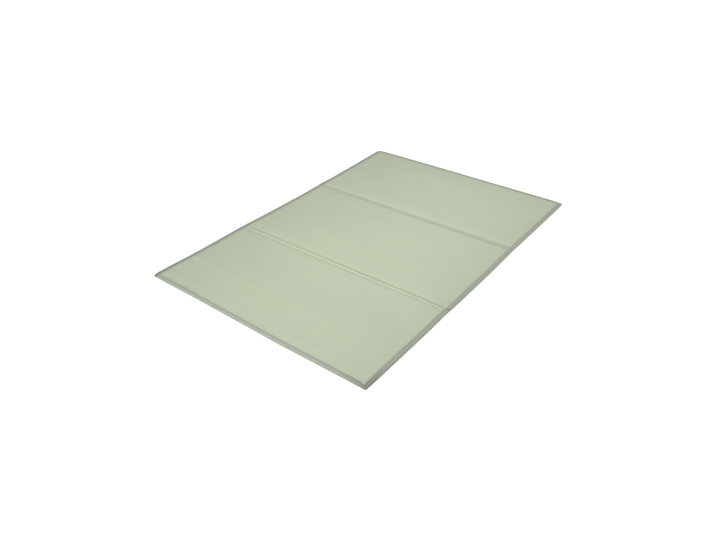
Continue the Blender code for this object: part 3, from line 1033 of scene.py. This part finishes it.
def two_layers(name, outer, inner):
    """A closed mesh of cloth between an outer and an inner grid of points."""
    number = np.arange(outer[..., 0].size).reshape(outer.shape[:2])
    within = number + number.size
    faces = quads_of(number) + quads_of(within[::-1])
    for side in (0, -1):
        edge = np.stack([number[:, side], within[:, side]])
        faces += quads_of(edge[::-1] if side else edge)
        edge = np.stack([number[side], within[side]])
        faces += quads_of(edge if side else edge[::-1])
    mesh = bpy.data.meshes.new(name)
    points = np.concatenate([outer.reshape(-1, 3), inner.reshape(-1, 3)])
    mesh.from_pydata(points.tolist(), [], faces)
    return mesh


def stitch_line(edge, settings, upper):
    """Points along a tape's row of stitches, on its top or on its underside."""
    inner = edge.half - (0.0 if edge.lengthwise else LOWER_LEG[0]) - TAPE_STEP
    place = np.linspace(-inner, inner, round(2 * inner / TAPE_STEP) + 1)
    top = edge.top_at(place) - fall_at(STITCH_DEPTH) - settings.groove
    bottom = edge.floor_at(place) + settings.groove + STITCH_LIFT
    return edge.points(place, STITCH_DEPTH + edge.waver_at(place) * settings.waver, top if upper else bottom)


def line_mesh(name, lines):
    """A mesh of separate lines of points."""
    mesh = bpy.data.meshes.new(name)
    points = np.concatenate(lines)
    starts = np.cumsum([0, *(len(line) for line in lines)])
    edges = []
    for start, end in zip(starts, starts[1:]):
        edges += [(n, n + 1) for n in range(start, end - 1)]
    mesh.from_pydata(points.tolist(), edges, [])
    return mesh


def sewn_rows(name, lines, settings, material):
    """A piece made of the stitches along these lines."""
    obj = linked_object(name, line_mesh(name, lines))
    sizes = {"Pitch": settings.pitch, "Length": settings.length, "Thread": settings.thread}
    stitch_growth().grow(obj, {**sizes, "Seed": settings.seed, "Material": material})
    return obj


class TATAMI_OT_mat(Operator):
    """Build the padded mat with its woven face"""

    bl_idname = "tatami.mat"
    bl_label = "Padded mat"

    def execute(self, context):
        settings = context.scene.tatami_mat
        form = MatForm(settings, context.scene.tatami_tape.thickness)
        obj = linked_object("woven_mat", mat_mesh(form))
        material = rush_material(settings, form.rib_pitch)
        rib_growth().grow(obj, {"Pitch": form.rib_pitch, "Height": settings.rib_height, "Material": material})
        settle(obj, RUSH_SLOT, "rush_mat")
        return {"FINISHED"}


class TATAMI_OT_tapes(Operator):
    """Build the four tapes folded over the edges"""

    bl_idname = "tatami.tapes"
    bl_label = "Edge tapes"

    def execute(self, context):
        settings = context.scene.tatami_tape
        material = tape_material(settings)
        for name, edge in TAPES.items():
            obj = tape_piece(name, settings, edge)
            obj.data.materials.append(material)
            settle(obj, TAPE_SLOT, edge.node)
        return {"FINISHED"}


class TATAMI_OT_sewing(Operator):
    """Sew the stitches along the tapes and the folds"""

    bl_idname = "tatami.sewing"
    bl_label = "Stitches"

    def execute(self, context):
        scene = context.scene
        settings = scene.tatami_sewing
        material = thread_material(settings)
        lines = []
        for edge in TAPES.values():
            lines += [stitch_line(edge, scene.tatami_tape, upper) for upper in (True, False)]
        settle(sewn_rows("tape_stitches", lines, settings, material), TAPE_SLOT)
        form = MatForm(scene.tatami_mat, scene.tatami_tape.thickness)
        ends = len(LIP_DEPTHS) + 1 + FIRST_STITCH
        lines = []
        for number in form.sewn:
            for height in (form.top, form.floor):
                lines.append(form.points(height)[ends:-ends, number])
        settle(sewn_rows("fold_stitches", lines, settings, material), TAPE_SLOT)
        return {"FINISHED"}


class TATAMI_OT_stage(Operator):
    """Set up the floor, the light and the camera"""

    bl_idname = "tatami.stage"
    bl_label = "Stage"

    def execute(self, context):
        scene = context.scene
        settings = scene.tatami_stage
        self.lay_floor(settings)
        self.set_light(scene, settings)
        self.set_camera(scene, settings)
        scene.view_settings.view_transform = "Standard"
        return {"FINISHED"}

    def lay_floor(self, settings):
        bm = bmesh.new()
        bmesh.ops.create_circle(bm, cap_ends=True, segments=FLOOR_SIDES, radius=FLOOR_REACH)
        bmesh.ops.translate(bm, verts=bm.verts, vec=(0.0, 0.0, -FLOOR_GAP))
        raised = bmesh.ops.extrude_edge_only(bm, edges=bm.edges[:])["geom"]
        rim_points = [part for part in raised if isinstance(part, bmesh.types.BMVert)]
        bmesh.ops.translate(bm, verts=rim_points, vec=(0.0, 0.0, BACKDROP_HEIGHT))
        mesh = bpy.data.meshes.new("floor")
        bm.to_mesh(mesh)
        bm.free()
        floor = linked_object("floor", mesh)
        made = Material("Pale floor", FLOOR_ROUGHNESS)
        made.surfaced("Base Color", settings.floor_colour)
        made.surfaced("Emission Color", WHITE)
        made.surfaced("Emission Strength", settings.floor_glow)
        mesh.materials.append(made.material)

    def set_light(self, scene, settings):
        world = bpy.data.worlds.new("Studio")
        world.use_nodes = True
        sky = Nodes(world.node_tree)
        direction = sky.node("ShaderNodeTexCoord").outputs["Generated"]
        height = sky.number(sky.node("ShaderNodeSeparateXYZ", None, {0: direction}).outputs[2])
        strength = settings.horizon + height.clamped() * (settings.zenith - settings.horizon)
        background = world.node_tree.nodes["Background"]
        background.inputs["Color"].default_value = WHITE
        sky.feed(background.inputs["Strength"], strength)
        scene.world = world
        key = bpy.data.lights.new("Key light", "SUN")
        key.energy = settings.key_strength
        key.angle = KEY_ANGLE
        self.hang(scene, key, settings.key_from)
        box = bpy.data.lights.new("Soft box", "AREA")
        box.energy = settings.box_power
        box.shape = "RECTANGLE"
        box.size, box.size_y = BOX_SIZE
        made = self.hang(scene, box, settings.box_place)
        made.rotation_euler = (0.0, 0.0, 0.0)

    def hang(self, scene, lamp, place):
        """Puts a lamp here and aims it at the middle of the mat."""
        made = bpy.data.objects.new(lamp.name, lamp)
        made.location = place
        made.rotation_euler = (-Vector(place)).to_track_quat("-Z", "Y").to_euler()
        scene.collection.objects.link(made)
        return made

    def set_camera(self, scene, settings):
        lens = bpy.data.cameras.new("Camera")
        lens.lens = settings.lens
        lens.sensor_width = SENSOR
        camera = bpy.data.objects.new("Camera", lens)
        place = Vector(settings.camera_place)
        aim = (Vector(settings.camera_target) - place).to_track_quat("-Z", "Y").to_matrix()
        camera.location = place
        camera.rotation_euler = (aim.to_4x4() @ Matrix.Rotation(settings.camera_roll, 4, "Z")).to_euler()
        scene.collection.objects.link(camera)
        scene.camera = camera


class TATAMI_PT_panel(Panel):
    """Lists the mat's pieces in the sidebar"""

    bl_idname = "TATAMI_PT_panel"
    bl_label = "Tatami mat"
    bl_space_type = "VIEW_3D"
    bl_region_type = "UI"
    bl_category = "Tatami mat"

    def draw(self, context):
        for operator in OPERATORS:
            self.layout.operator(operator.bl_idname)


OPERATORS = (TATAMI_OT_mat, TATAMI_OT_tapes, TATAMI_OT_sewing, TATAMI_OT_stage)
SETTINGS = {
    "tatami_mat": MatSettings,
    "tatami_tape": TapeSettings,
    "tatami_sewing": SewingSettings,
    "tatami_stage": StageSettings,
}


def register():
    for made in (*SETTINGS.values(), *OPERATORS, TATAMI_PT_panel):
        bpy.utils.register_class(made)
    for name, made in SETTINGS.items():
        setattr(bpy.types.Scene, name, PointerProperty(type=made))


def unregister():
    for name in SETTINGS:
        delattr(bpy.types.Scene, name)
    for made in (TATAMI_PT_panel, *reversed(OPERATORS), *reversed(SETTINGS.values())):
        bpy.utils.unregister_class(made)


def main():
    register()
    bpy.ops.tatami.mat()
    bpy.ops.tatami.tapes()
    bpy.ops.tatami.sewing()
    bpy.ops.tatami.stage()


if __name__ == "__main__":
    main()
